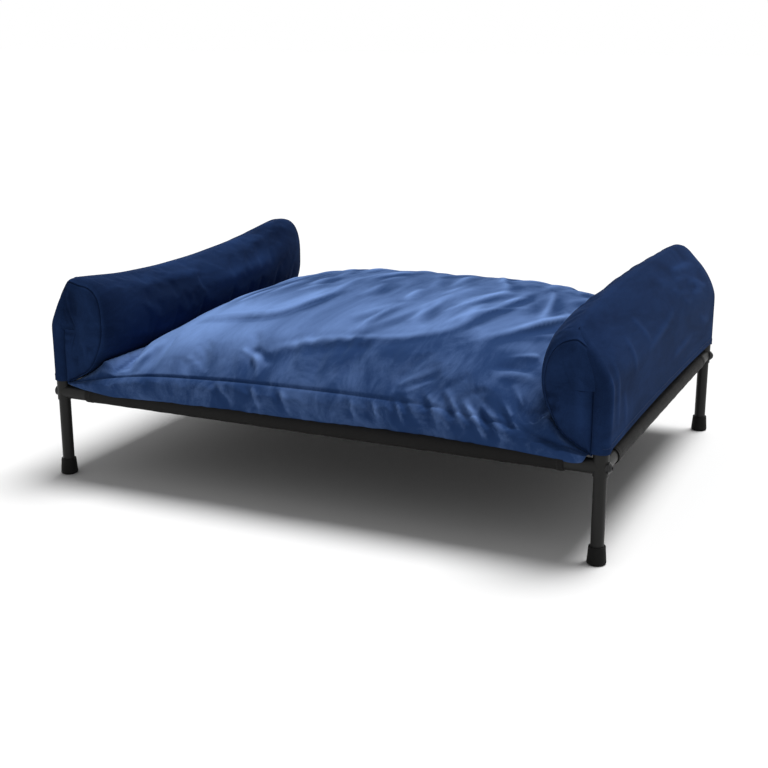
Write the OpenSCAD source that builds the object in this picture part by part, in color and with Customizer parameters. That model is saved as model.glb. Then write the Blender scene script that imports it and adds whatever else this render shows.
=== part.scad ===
// Raised dog cot: a bolted tube frame with a woven sling, a velvet cushion
// and a stuffed bolster slipped over the hoop at each short end.
// Millimetres, +Z up, +X along the length, origin on the floor under the middle.

/* [Frame] */
// Distance between the leg axes along the length of the cot
leg_span_x = 900; // [700:10:1200]
// Distance between the leg axes across the cot
leg_span_y = 680; // [500:10:900]
// Height of the rail axes above the floor
rail_height = 141; // [100:1:260]
// Rise of the hoops' top bars above the rail axes
hoop_rise = 112; // [90:1:150]
// Centreline radius of the bends in the hoops
bend_radius = 30; // [26:1:60]
// How far the uprights of the hoops run on below the rail axes
upright_tail = 13; // [12:1:30]

/* [Tubes] */
// Outer diameter of the hoop and rail tubes
tube_od = 22; // [20:0.5:28]
// Wall of the hoop and rail tubes
tube_wall = 1.2; // [1:0.1:2]
// Wall of the leg tubes
leg_wall = 1.2; // [1:0.1:2]
// Radial clearance of a leg in its upright
leg_clearance = 0.3; // [0.1:0.05:0.5]
// How far a leg stands up inside its upright above the rail axis
leg_overlap = 34; // [20:1:50]
// Gap left for the weld or the butt joint where a rail meets another tube
cope_gap = 0.1; // [0.05:0.05:0.5]

/* [Feet] */
// Height of a rubber foot
foot_h = 26; // [20:1:40]
// Rubber between the end of the leg and the floor
foot_floor = 5; // [4:0.5:10]
// Wall of a foot at its mouth
foot_wall = 2.4; // [1.5:0.1:4]
// How much a foot's radius grows from its mouth to its base
foot_flare = 1.8; // [0.5:0.1:4]
// Rounding of a foot's bottom edge
foot_round = 3; // [1:0.5:4]
// Radial gap between a leg and the bore of its foot
foot_clearance = 0.1; // [0.05:0.05:0.3]

/* [Corner screws] */
// Shank diameter of a corner screw
bolt_d = 8; // [6:1:8]
// Diameter of its button head
bolt_head_d = 14; // [12:0.5:16]
// Height of its button head
bolt_head_h = 4.4; // [3.5:0.1:6]
// Hex socket across flats
socket_af = 5; // [4:1:6]
// Depth of the hex socket
socket_depth = 2.6; // [1.5:0.1:3]
// Radial clearance of a screw in the tubes and the washer
bolt_clearance = 0.25; // [0.1:0.05:0.5]
// How far the saddle washer stands out round the head
washer_rim = 1; // [0.5:0.25:1.5]
// Thickness of the saddle washer over the crown of the tube
washer_t = 1.6; // [1:0.1:3]
// Gap between the saddle washer and the tube it sits on
washer_gap = 0.1; // [0.05:0.05:0.2]
// Length of the threaded plug in a rail end
plug_length = 24; // [18:1:40]
// How far the plug sits back from the upright
plug_setback = 0.5; // [0.3:0.1:2]
// Radial gap between plug and rail, and between plug and screw
plug_clearance = 0.1; // [0.05:0.05:0.2]
// Length of screw held in the plug
thread_length = 17; // [12:1:18]

/* [Sling] */
// Thickness of the sling cloth
sling_cloth = 1; // [0.6:0.1:2]
// Gap between a rail and its hem sleeve
sleeve_gap = 0.2; // [0.1:0.1:1]
// Bare rail between a leg axis and the end of a long sleeve
side_bare = 50; // [35:1:80]
// Bare rail between a leg axis and the end of an end sleeve
end_bare = 50; // [35:1:80]
// Distance from a rail axis to the seam that closes its sleeve
seam_reach = 32; // [26:1:34]
// How far the sling panel laps onto the sleeves
panel_lap = 14; // [8:1:14]
// Cut-off at the corners of the sling panel
panel_chamfer = 30; // [10:1:60]

/* [Cushion] */
// Gap between the sling and the cushion
sling_gap = 0.2; // [0.1:0.1:1]
// Gap between the cushion's corners and the uprights
cushion_end_gap = 26; // [12:1:60]
// How far the cushion's long sides reach past the leg axes
cushion_overhang = 5; // [-20:1:10]
// Height of the crown above the underside
cushion_crown = 141; // [110:1:160]
// Height of the long sides' seam at mid-length
side_seam = 42; // [30:1:60]
// Height of the seam at the corners
corner_seam = 4; // [3:0.5:8]
// How far the short ends draw in between their corners
end_draw = 12; // [4:1:30]
// How far the long sides draw in between their corners
side_draw = 8; // [2:1:30]
// Thickness of the lined velvet covers
cover_cloth = 2.5; // [2:0.1:4]
// Gap between a cover and its filling
fill_gap = 0.4; // [0.3:0.1:1]

/* [Bolsters] */
// Height of a bolster's underside and of its pocket's hem above the rail axes
hem_lift = 25; // [20:1:35]
// Rise of the outer hem at the middle of a short end
hem_rise = 10; // [2:1:20]
// Depth of a bolster from its back to its innermost swell
bolster_depth = 86; // [60:1:100]
// Height of a bolster at mid-length
bolster_height = 190; // [165:1:220]
// Distance of a bolster's top line from its back
bolster_ridge = 28; // [15:1:40]
// Share of its section that a bolster loses towards its ends
bolster_taper = 0.11; // [0.02:0.01:0.15]
// Further share lost where the end panel is sewn in
bolster_end_taper = 0.08; // [0.02:0.01:0.1]
// Thickness of the pocket cloth
pocket_cloth = 1.2; // [0.8:0.1:2]
// Gap between a pocket and the hoop in it
pocket_gap = 0.5; // [0.3:0.1:1]
// Least gap between the cushion's ends and the bolsters over them
soft_gap = 1.5; // [0.5:0.1:5]

/* [Hidden] */
$fn = 96;

// Colours of the finishes
frame_black = "#26272b";
rubber_black = "#1b1b1d";
sling_black = "#202125";
plated_steel = "#9a9ca0";
velvet_blue = "#1f4389";
velvet_navy = "#17326b";
fill_white = "#e8e6e0";

// Frame geometry
leg_x = leg_span_x / 2;
leg_y = leg_span_y / 2;
tube_r = tube_od / 2;
bore_r = tube_r - tube_wall;
leg_r = bore_r - leg_clearance;
bar_z = rail_height + hoop_rise;
bend_z = bar_z - bend_radius;
hoop_top = bar_z + tube_r;
upright_bottom = rail_height - upright_tail;
leg_top = rail_height + leg_overlap;
bolt_hole_d = bolt_d + 2 * bolt_clearance;
washer_r = bolt_head_d / 2 + washer_rim;
saddle_depth = tube_r - sqrt(pow(tube_r, 2) - pow(washer_r, 2));
head_seat = leg_x + tube_r + washer_t;
plug_face = leg_x - tube_r - plug_setback;
// Spare length by which a cutting shape runs past what it cuts
past = 1;

// Sling geometry
sleeve_in = tube_r + sleeve_gap;
sleeve_out = sleeve_in + sling_cloth;
sling_top = rail_height + sleeve_out + sling_cloth;
arc_steps = 30;

// Bolster geometry, measured inward from its back and up from its hem
hem_z = rail_height + hem_lift;
back_x = leg_x - tube_r - pocket_gap;
panel_x = leg_x + tube_r + pocket_gap;
pocket_skin = pocket_gap + pocket_cloth;
pocket_half = leg_y + tube_r + pocket_skin;
lip_reach = panel_x + pocket_cloth - back_x;
section_steps = 14;
straight_steps = 3;
bend_steps = 4;
// Rounded corner of the pocket that the lip runs over: its centre, and a radius
// that keeps the flats of the loft just outside the pocket
pocket_corner = bend_radius + tube_r + pocket_skin;
round_y = pocket_half - pocket_corner;
round_h = hoop_top + pocket_skin - pocket_corner - hem_z;
lip_round = pocket_corner / cos(45 / bend_steps);
bolster_half = round_y + lip_round;
// Where along a bolster its end panel starts to draw in
tuck_start = 0.9;

// Cushion geometry
cushion_base = sling_top + sling_gap;
cushion_half_x = leg_x - tube_r - cushion_end_gap;
cushion_half_y = leg_y + cushion_overhang;
grid_x = 18;
grid_y = 14;
// Powers that shape the crown along and across the cushion
length_power = 4;
width_power = 2.5;
shoulder_power = 0.75;
// Where the underside starts to roll up to the seam, as a share of the half width
roll_start = 0.92;
// How far the cavity stops short of the tucked ends, of the sides, and above the corner seam
tuck_inset = 25;
side_inset = 8;
tuck_lift = 7;

// Tubes and rails

// Section of a tube
module tube_ring(r, wall) {
  difference() {
    circle(r);
    circle(r - wall);
  }
}

// Straight tube standing on the origin
module tube(r, wall, length) {
  linear_extrude(length) tube_ring(r, wall);
}

// Turns a flat outline drawn in Y and Z, so that its thickness runs along X
module face_x() {
  rotate([90, 0, 90]) children();
}

// The same solid mirrored to the left end
module at_left() {
  mirror([1, 0, 0]) children();
}

// Places children at all four corners, facing outward along X
module each_corner() {
  for (sx = [-1, 1], sy = [-1, 1])
    mirror([sx < 0 ? 1 : 0, 0, 0]) mirror([0, sy < 0 ? 1 : 0, 0]) children();
}

// Screw holes through the uprights and legs of the right end
module bolt_holes() {
  for (sy = [-1, 1])
    translate([leg_x - tube_od, sy * leg_y, rail_height])
      rotate([0, 90, 0]) cylinder(d = bolt_hole_d, h = 2 * tube_od);
}

// Solid cylinders over the uprights of both ends, to cope a rail against
module upright_copes() {
  for (sx = [-1, 1], sy = [-1, 1])
    translate([sx * leg_x, sy * leg_y, upright_bottom])
      cylinder(r = tube_r + cope_gap, h = hoop_rise);
}

// Bent tube with two uprights and a top bar, at the right end
module hoop() {
  difference() {
    translate([leg_x, 0, 0]) {
      for (sy = [-1, 1]) {
        translate([0, sy * leg_y, upright_bottom])
          tube(tube_r, tube_wall, bend_z - upright_bottom);
        mirror([0, sy < 0 ? 1 : 0, 0])
          translate([0, leg_y - bend_radius, bend_z])
            face_x() rotate_extrude(angle = 90)
              translate([bend_radius, 0]) tube_ring(tube_r, tube_wall);
      }
      translate([0, bend_radius - leg_y, bar_z])
        rotate([-90, 0, 0]) tube(tube_r, tube_wall, leg_span_y - 2 * bend_radius);
    }
    bolt_holes();
  }
}

// Rail across the right end, coped and welded between the uprights, its ears clear of the washers
module end_rail() {
  reach = leg_y - washer_r - cope_gap;
  difference() {
    translate([leg_x, -reach, rail_height])
      rotate([-90, 0, 0]) tube(tube_r, tube_wall, 2 * reach);
    upright_copes();
  }
}

// Rail along the rear side, coped against the uprights and the end rails
module long_rail() {
  difference() {
    translate([-leg_x, leg_y, rail_height])
      rotate([0, 90, 0]) tube(tube_r, tube_wall, leg_span_x);
    upright_copes();
    for (sx = [-1, 1])
      translate([sx * leg_x, 0, rail_height])
        rotate([-90, 0, 0]) cylinder(r = tube_r + cope_gap, h = leg_y);
  }
}

// Leg that telescopes into an upright, at the right rear corner
module leg() {
  difference() {
    translate([leg_x, leg_y, foot_floor]) tube(leg_r, leg_wall, leg_top - foot_floor);
    bolt_holes();
  }
}

// Tapered rubber ferrule with a rounded base
module foot() {
  bore = leg_r + foot_clearance;
  mouth = bore + foot_wall;
  base = mouth + foot_flare;
  translate([leg_x, leg_y, 0]) rotate_extrude() difference() {
    union() {
      polygon([
        [0, 0], [base - foot_round, 0], [base - foot_round, foot_round],
        [base, foot_round], [mouth, foot_h], [0, foot_h]
      ]);
      translate([base - foot_round, foot_round]) circle(foot_round);
    }
    translate([0, foot_floor]) square([bore, foot_h]);
  }
}

// Corner screws

// Threaded plug inside the end of a long rail
module rail_plug() {
  translate([plug_face - plug_length, leg_y, rail_height]) rotate([0, 90, 0])
    linear_extrude(plug_length) difference() {
      circle(bore_r - plug_clearance);
      circle(bolt_d / 2 + plug_clearance);
    }
}

// Button head screw with a hex socket, its head outward
module frame_bolt() {
  head_r = bolt_head_d / 2;
  dome_r = (pow(head_r, 2) + pow(bolt_head_h, 2)) / (2 * bolt_head_h);
  shank = washer_t + tube_od + plug_setback + thread_length;
  translate([head_seat, leg_y, rail_height]) rotate([0, 90, 0]) difference() {
    union() {
      rotate_extrude() intersection() {
        translate([0, bolt_head_h - dome_r]) circle(dome_r);
        square([head_r, bolt_head_h]);
      }
      translate([0, 0, -shank]) cylinder(d = bolt_d, h = shank);
    }
    translate([0, 0, bolt_head_h - socket_depth])
      cylinder(d = socket_af / cos(30), h = bolt_head_h, $fn = 6);
  }
}

// Washer with one face hollowed to sit on the round upright
module saddle_washer() {
  difference() {
    translate([head_seat - washer_t - saddle_depth, leg_y, rail_height])
      rotate([0, 90, 0]) difference() {
        cylinder(r = washer_r, h = washer_t + saddle_depth);
        translate([0, 0, -past]) cylinder(d = bolt_hole_d, h = washer_t + saddle_depth + 2 * past);
      }
    translate([leg_x, leg_y, upright_bottom]) cylinder(r = tube_r + washer_gap, h = hoop_rise);
  }
}

// Sling

// Round of cloth over a rail, drawn off straight to its seam at (reach, r).
// The arc runs from the top of the rail, round below it, to where the lower layer leaves it.
module teardrop(r, reach) {
  leave = 360 + atan2(r, reach) - acos(r / norm([reach, r]));
  polygon(concat(
    [for (i = [0 : arc_steps]) let (turn = 90 + (leave - 90) * i / arc_steps) r * [cos(turn), sin(turn)]],
    [[reach, r]]
  ));
}

// Section of a hem sleeve, its seam to the right
module sleeve_section() {
  difference() {
    teardrop(sleeve_out, seam_reach);
    teardrop(sleeve_in, seam_reach * sleeve_in / sleeve_out);
  }
}

// Hem sleeve round the front rail
module side_sleeve() {
  half = leg_x - side_bare;
  translate([-half, -leg_y, rail_height]) face_x() linear_extrude(2 * half) sleeve_section();
}

// Hem sleeve round the left end rail
module end_sleeve() {
  half = leg_y - end_bare;
  translate([-leg_x, half, rail_height])
    rotate([90, 0, 0]) linear_extrude(2 * half) sleeve_section();
}

// Flat mat between the sleeves, lapped onto their tops
module mat() {
  x = leg_x - seam_reach + panel_lap;
  y = leg_y - seam_reach + panel_lap;
  cut = panel_chamfer;
  translate([0, 0, sling_top - sling_cloth]) linear_extrude(sling_cloth) polygon([
    [x - cut, y], [x, y - cut], [x, cut - y], [x - cut, -y],
    [cut - x, -y], [-x, cut - y], [-x, y - cut], [cut - x, y]
  ]);
}

// Stuffed forms

// Underside of a bolster at a distance x from the middle of the cot
function bolster_underside(x) =
  let (inward = back_x - abs(x))
  inward >= bolster_depth ? hem_z + bolster_height
  : hem_z + bolster_height / 2 * (1 - sqrt(1 - pow(inward / bolster_depth, 2)));

// How far the underside has rolled up towards the seam, from 0 inside to 1 at the edge
function roll(v) = 1 - sqrt(1 - pow(max(0, (abs(v) - roll_start) / (1 - roll_start)), 2));

// Height of the seam along the cushion
function seam_height(u, corner, side) = corner + (side - corner) * (1 - pow(u, 4));

// Closed pillow: an upper and a lower panel that meet in a seam, crowned, its sides drawn in.
// Half sizes hx and hy, underside at base, seam heights and crown measured from the cushion's base.
module pillow(hx, hy, base, corner, side, crown) {
  columns = [for (i = [0 : grid_x]) sin(90 * (2 * i / grid_x - 1))];
  rows = [for (j = [0 : grid_y]) sin(90 * (2 * j / grid_y - 1))];
  function place(u, v, h) = [
    u * (hx - end_draw * (1 - v * v)), v * (hy - side_draw * (1 - u * u)), cushion_base + h
  ];
  function limited(p) = [p.x, p.y, min(p.z, bolster_underside(p.x) - soft_gap - base)];
  function upper(u, v) = seam_height(u, corner, side)
    + (crown - side) * (1 - pow(abs(u), length_power))
    * pow(1 - pow(abs(v), width_power), shoulder_power);
  function lower(u, v) = base + (seam_height(u, corner, side) - base) * max(roll(u), roll(v));
  function top_index(i, j) = i * (grid_y + 1) + j;
  function low_index(i, j) = i == 0 || i == grid_x || j == 0 || j == grid_y
    ? top_index(i, j) : (grid_x + 1) * (grid_y + 1) + (i - 1) * (grid_y - 1) + j - 1;
  // Diagonals point away from the corners, so that no face lies on the seam alone
  function halves(a, b, c, d, i, j) =
    (i < grid_x / 2) == (j < grid_y / 2) ? [[a, b, c], [a, c, d]] : [[a, b, d], [b, c, d]];
  top_points = [for (u = columns, v = rows) limited(place(u, v, upper(u, v)))];
  low_points = [
    for (i = [1 : grid_x - 1], j = [1 : grid_y - 1])
      place(columns[i], rows[j], lower(columns[i], rows[j]))
  ];
  top_faces = [
    for (i = [0 : grid_x - 1], j = [0 : grid_y - 1])
      each halves(top_index(i, j), top_index(i, j + 1), top_index(i + 1, j + 1), top_index(i + 1, j), i, j)
  ];
  low_faces = [
    for (i = [0 : grid_x - 1], j = [0 : grid_y - 1])
      for (f = halves(low_index(i, j), low_index(i, j + 1), low_index(i + 1, j + 1), low_index(i + 1, j), i, j))
        [f[2], f[1], f[0]]
  ];
  polyhedron(concat(top_points, low_points), concat(top_faces, low_faces));
}

// Pillow inside the cover, set in by a cloth thickness
module pillow_inset(cloth) {
  pillow(
    cushion_half_x - tuck_inset - 3 * (cloth - cover_cloth),
    cushion_half_y - side_inset - 6 * (cloth - cover_cloth),
    cloth, corner_seam + tuck_lift, side_seam, cushion_crown - cloth
  );
}

// Section of the right bolster in [inward, up], set in by a cloth thickness and scaled by k.
// Up the back to the lip over the hoop, out along it, up to the ridge and round the swell.
function bolster_section(k, lip, inset) =
  let (
    half = bolster_height * k / 2,
    ridge = bolster_ridge * k + inset,
    swell = bolster_depth * (1 + k) / 2 - inset
  )
  concat(
    [[inset, inset], [inset, lip], [2.4 * inset - lip_reach, lip]],
    [
      for (j = [0 : section_steps - 1])
        let (turn = 180 * (1 - j / section_steps))
        turn > 90
        ? [ridge + (swell - ridge) * sin(turn), half - (half - 1.3 * inset) * cos(turn)]
        : [inset + (swell - inset) * sin(turn), half - (half - inset) * cos(turn)]
    ]
  );

// Scale of the section along the bolster, v from -1 to 1
function bolster_scale(v) = 1 - bolster_taper * pow(abs(v), 3)
  - bolster_end_taper * pow(max(0, (abs(v) - tuck_start) / (1 - tuck_start)), 2);

// Right bolster as a loft of its sections along Y, closed by a fan at each end.
// Each station holds its place along Y and the height of the lip, which follows the hoop's bends.
module bolster(inset) {
  round_r = lip_round + inset;
  last_turn = asin((lip_round - 1.5 * inset) / round_r);
  rear = concat(
    [for (i = [1 : straight_steps - 1]) [round_y * i / straight_steps, round_h + round_r]],
    [
      for (i = [0 : bend_steps])
        let (turn = last_turn * i / bend_steps)
        [round_y + round_r * sin(turn), round_h + round_r * cos(turn)]
    ]
  );
  n = len(rear);
  stations = concat(
    [for (i = [1 : n]) [-rear[n - i][0], rear[n - i][1]]], [[0, round_h + round_r]], rear
  );
  count = section_steps + 3;
  function size_at(y) = bolster_scale(y / bolster_half);
  function world(p, y) = [back_x - p[0], y, hem_z + p[1]];
  function hub(k, lip) = [0.3 * bolster_depth * k, (lip + bolster_height * k) / 2];
  rings = [
    for (s = stations) for (p = bolster_section(size_at(s[0]), s[1], inset)) world(p, s[0])
  ];
  hubs = [
    for (s = [stations[0], stations[2 * n]]) world(hub(size_at(s[0]), s[1]), s[0])
  ];
  front_hub = len(rings);
  last = 2 * n * count;
  sides = [
    for (s = [0 : 2 * n - 1], r = [0 : count - 1])
      let (
        a = s * count + r, b = s * count + (r + 1) % count,
        c = b + count, d = a + count
      )
      each [[a, b, c], [a, c, d]]
  ];
  caps = [
    for (r = [0 : count - 1])
      let (next = (r + 1) % count)
      each [[front_hub, next, r], [front_hub + 1, last + r, last + next]]
  ];
  polyhedron(concat(rings, hubs), concat(sides, caps));
}

// Hollow cover of the right bolster
module bolster_cover() {
  difference() {
    bolster(0);
    bolster(cover_cloth);
  }
}

// Outline of the pocket seen from the end, larger than the hoop by a margin
module pocket_outline(margin, bottom) {
  half = leg_y + tube_r + margin;
  top = hoop_top + margin;
  corner = bend_radius + tube_r + margin;
  translate([-half, bottom]) square([2 * half, top - corner - bottom]);
  translate([corner - half, bottom]) square([2 * (half - corner), top - bottom]);
  for (sy = [-1, 1]) translate([sy * (half - corner), top - corner]) circle(corner);
}

// Outer panel of the right pocket, its hem arched up between the corners
module pocket_panel() {
  arch_r = (pow(pocket_half, 2) + pow(hem_rise, 2)) / (2 * hem_rise);
  translate([panel_x, 0, 0]) face_x() linear_extrude(pocket_cloth) difference() {
    pocket_outline(pocket_skin, hem_z);
    translate([0, hem_z + hem_rise - arch_r]) circle(arch_r, $fn = 1440);
  }
}

// Strip over the hoop that joins the outer panel to the bolster's back
module pocket_gusset() {
  translate([back_x, 0, 0]) face_x() linear_extrude(panel_x - back_x) difference() {
    pocket_outline(pocket_skin, hem_z);
    pocket_outline(pocket_gap, hem_z - past);
  }
}

// Sub-parts
module left_hoop() { color(frame_black) at_left() hoop(); }
module right_hoop() { color(frame_black) hoop(); }
module left_end_rail() { color(frame_black) at_left() end_rail(); }
module right_end_rail() { color(frame_black) end_rail(); }
module front_rail() { color(frame_black) mirror([0, 1, 0]) long_rail(); }
module rear_rail() { color(frame_black) long_rail(); }
module front_left_leg() { color(frame_black) at_left() mirror([0, 1, 0]) leg(); }
module front_right_leg() { color(frame_black) mirror([0, 1, 0]) leg(); }
module rear_left_leg() { color(frame_black) at_left() leg(); }
module rear_right_leg() { color(frame_black) leg(); }
module front_left_foot() { color(rubber_black) at_left() mirror([0, 1, 0]) foot(); }
module front_right_foot() { color(rubber_black) mirror([0, 1, 0]) foot(); }
module rear_left_foot() { color(rubber_black) at_left() foot(); }
module rear_right_foot() { color(rubber_black) foot(); }
module rail_plugs() { color(plated_steel) each_corner() rail_plug(); }
module frame_bolts() { color(frame_black) each_corner() frame_bolt(); }
module saddle_washers() { color(frame_black) each_corner() saddle_washer(); }
module sling_panel() { color(sling_black) mat(); }
module front_sleeve() { color(sling_black) side_sleeve(); }
module rear_sleeve() { color(sling_black) mirror([0, 1, 0]) side_sleeve(); }
module left_sleeve() { color(sling_black) end_sleeve(); }
module right_sleeve() { color(sling_black) mirror([1, 0, 0]) end_sleeve(); }
module cushion_cover() {
  color(velvet_blue) difference() {
    pillow(cushion_half_x, cushion_half_y, 0, corner_seam, side_seam, cushion_crown);
    pillow_inset(cover_cloth);
  }
}
module cushion_fill() { color(fill_white) pillow_inset(cover_cloth + fill_gap); }
module left_bolster_cover() { color(velvet_navy) at_left() bolster_cover(); }
module left_bolster_fill() { color(fill_white) at_left() bolster(cover_cloth + fill_gap); }
module left_pocket_panel() { color(velvet_navy) at_left() pocket_panel(); }
module left_pocket_gusset() { color(velvet_navy) at_left() pocket_gusset(); }
module right_bolster_cover() { color(velvet_navy) bolster_cover(); }
module right_bolster_fill() { color(fill_white) bolster(cover_cloth + fill_gap); }
module right_pocket_panel() { color(velvet_navy) pocket_panel(); }
module right_pocket_gusset() { color(velvet_navy) pocket_gusset(); }

left_hoop();
right_hoop();
left_end_rail();
right_end_rail();
front_rail();
rear_rail();
front_left_leg();
front_right_leg();
rear_left_leg();
rear_right_leg();
front_left_foot();
front_right_foot();
rear_left_foot();
rear_right_foot();
rail_plugs();
frame_bolts();
saddle_washers();
sling_panel();
front_sleeve();
rear_sleeve();
left_sleeve();
right_sleeve();
cushion_cover();
cushion_fill();
left_bolster_cover();
left_bolster_fill();
left_pocket_panel();
left_pocket_gusset();
right_bolster_cover();
right_bolster_fill();
right_pocket_panel();
right_pocket_gusset();
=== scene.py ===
import math

import bmesh
import bpy
import numpy as np
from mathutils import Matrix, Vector


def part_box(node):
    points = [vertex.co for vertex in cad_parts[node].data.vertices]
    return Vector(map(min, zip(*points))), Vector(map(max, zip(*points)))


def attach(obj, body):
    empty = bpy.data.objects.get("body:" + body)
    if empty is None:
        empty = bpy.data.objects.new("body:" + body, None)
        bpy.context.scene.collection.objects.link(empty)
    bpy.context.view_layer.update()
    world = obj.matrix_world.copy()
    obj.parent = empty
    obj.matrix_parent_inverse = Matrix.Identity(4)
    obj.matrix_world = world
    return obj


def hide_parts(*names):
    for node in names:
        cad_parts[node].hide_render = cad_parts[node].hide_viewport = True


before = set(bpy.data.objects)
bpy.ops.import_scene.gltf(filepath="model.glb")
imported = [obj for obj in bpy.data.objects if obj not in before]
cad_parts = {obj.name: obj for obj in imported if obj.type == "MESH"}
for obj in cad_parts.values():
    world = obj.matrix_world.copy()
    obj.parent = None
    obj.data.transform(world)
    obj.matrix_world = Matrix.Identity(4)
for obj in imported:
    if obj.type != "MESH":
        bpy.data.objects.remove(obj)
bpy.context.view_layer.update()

# Viewpoint
# The cot is seen from its right front, a little above the cushion,
# with a longish lens so that the long rails hardly converge.
eye_place, eye_turn, eye_rise = (0.8825, -1.9704, 0.7174), math.radians(24.88), math.radians(15.48)
eye_lens, eye_sensor = 60.73, 36.0


def show(name, data):
    """Puts a mesh, a lamp or a camera in the scene as an object."""
    made = bpy.data.objects.new(name, data)
    bpy.context.scene.collection.objects.link(made)
    return made


level_part = math.cos(eye_rise)
away = Vector((math.sin(eye_turn) * level_part, -math.cos(eye_turn) * level_part, math.sin(eye_rise)))
eye = show("eye", bpy.data.cameras.new("eye"))
eye.data.lens, eye.data.sensor_width = eye_lens, eye_sensor
eye.data.clip_start, eye.data.clip_end = 0.05, 100.0
eye.location = eye_place
eye.rotation_mode = "QUATERNION"
eye.rotation_quaternion = (-away).to_track_quat("-Z", "Y")
bpy.context.scene.camera = eye


# Powder-coated tubes
# Two bent end hoops, four straight rails and four legs of thin steel tube, sprayed
# with black powder and baked, which leaves a satin skin like very fine orange peel.
def feed(tree, socket, value):
    """Gives a node's input an output to follow, or a plain value."""
    if isinstance(value, bpy.types.NodeSocket):
        tree.links.new(value, socket)
    else:
        socket.default_value = value


def node(tree, kind, settings, inputs):
    """A node with its settings, and its inputs fed by name or by number."""
    made = tree.nodes.new(kind)
    for key, value in settings.items():
        setattr(made, key, value)
    for key, value in inputs.items():
        feed(tree, made.inputs[key], value)
    return made


def maths(tree, operation, first, second=0.0, clamp=False):
    """The result of one operation on two outputs or numbers."""
    settings = {"operation": operation, "use_clamp": clamp}
    return node(tree, "ShaderNodeMath", settings, {0: first, 1: second}).outputs[0]


def blend(tree, share, low, high):
    """A colour between two others."""
    return node(tree, "ShaderNodeMix", {"data_type": "RGBA"}, {0: share, 6: low, 7: high}).outputs[2]


def spread(tree, value, lowest, highest, to_lowest=0.0, to_highest=1.0):
    """A value stretched from one range to another."""
    limits = {"From Min": lowest, "From Max": highest, "To Min": to_lowest, "To Max": to_highest}
    return node(tree, "ShaderNodeMapRange", {}, {"Value": value, **limits}).outputs["Result"]


def raise_skin(tree, shader, height, strength, distance):
    """A bump on the shader's normal."""
    values = {"Height": height, "Strength": strength, "Distance": distance}
    feed(tree, shader.inputs["Normal"], node(tree, "ShaderNodeBump", {}, values).outputs["Normal"])


def new_finish(name, plain):
    """A material with one shader, and plain values set on the shader's own sockets."""
    made = bpy.data.materials.new(name)
    made.use_nodes = True
    shader = made.node_tree.nodes["Principled BSDF"]
    for socket, value in plain.items():
        shader.inputs[socket].default_value = value
    return made, made.node_tree, shader


def new_group(name, takes, gives):
    """An empty shader node group with named inputs and outputs."""
    group = bpy.data.node_groups.new(name, "ShaderNodeTree")
    for label, kind, value in takes:
        group.interface.new_socket(label, in_out="INPUT", socket_type=kind).default_value = value
    for label, kind in gives:
        group.interface.new_socket(label, in_out="OUTPUT", socket_type=kind)
    return group, group.nodes.new("NodeGroupInput").outputs, group.nodes.new("NodeGroupOutput").inputs


def place_group(tree, group, values):
    """The outputs of one copy of a node group in a material, with its own values."""
    return node(tree, "ShaderNodeGroup", {"node_tree": group}, values).outputs


skin, skin_in, skin_out = new_group(
    "fine_skin",
    [("Grain", "NodeSocketFloat", 1400.0), ("Patches", "NodeSocketFloat", 22.0)],
    [("Height", "NodeSocketFloat"), ("Tone", "NodeSocketFloat")],
)
skin_place = skin.nodes.new("ShaderNodeTexCoord").outputs["Object"]
for gives, takes, detail, rough in (("Height", "Grain", 2.0, 0.55), ("Tone", "Patches", 4.0, 0.6)):
    values = {"Vector": skin_place, "Scale": skin_in[takes], "Detail": detail, "Roughness": rough}
    feed(skin, skin_out[gives], node(skin, "ShaderNodeTexNoise", {}, values).outputs["Fac"])


def black_finish(name, low, high, rough, depth, grain, plain):
    """A near-black finish whose tone and gloss drift a little over the surface."""
    made, tree, shader = new_finish(name, plain)
    peel = place_group(tree, skin, {"Grain": grain})
    feed(tree, shader.inputs["Base Color"], blend(tree, peel["Tone"], (*low, 1), (*high, 1)))
    feed(tree, shader.inputs["Roughness"], spread(tree, peel["Tone"], 0.3, 0.7, *rough))
    raise_skin(tree, shader, peel["Height"], 0.5, depth)
    return made


powder_coat = black_finish(
    "satin_powder_coat", (0.0070, 0.0070, 0.0068), (0.0105, 0.0105, 0.0100), (0.42, 0.52),
    0.00012, 1400.0, {"IOR": 1.5, "Specular IOR Level": 0.23})
tubes = ["left_hoop", "right_hoop", "left_end_rail", "right_end_rail", "front_rail", "rear_rail"]
corners = [f"{end}_{side}" for end in ("front", "rear") for side in ("left", "right")]
for name in tubes + [f"{corner}_leg" for corner in corners]:
    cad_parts[name].material_slots[0].material = powder_coat

# Rubber feet
# Slip-on ferrules of moulded black rubber, matt, that flare a little to the floor
# and keep the tube ends from marking it.
rubber = black_finish(
    "moulded_rubber", (0.0055, 0.0055, 0.0054), (0.0085, 0.0085, 0.0083), (0.62, 0.78),
    0.0002, 700.0, {"IOR": 1.45, "Specular IOR Level": 0.16})
for corner in corners:
    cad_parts[f"{corner}_foot"].material_slots[0].material = rubber

# Corner screws
# Button head screws with a hexagon socket, their saddle washers, and the threaded plugs
# in the rail ends that they draw up to; screws and washers are blackened, plugs plain steel.
black_steel = black_finish(
    "blackened_steel", (0.016, 0.016, 0.017), (0.03, 0.03, 0.031), (0.3, 0.42),
    0.00004, 2200.0, {"Metallic": 0.75})
plain_steel = black_finish(
    "turned_steel", (0.36, 0.36, 0.35), (0.45, 0.45, 0.44), (0.28, 0.4),
    0.00003, 2600.0, {"Metallic": 1.0})
for name in ("frame_bolts", "saddle_washers"):
    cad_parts[name].material_slots[0].material = black_steel
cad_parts["rail_plugs"].material_slots[0].material = plain_steel


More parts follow.
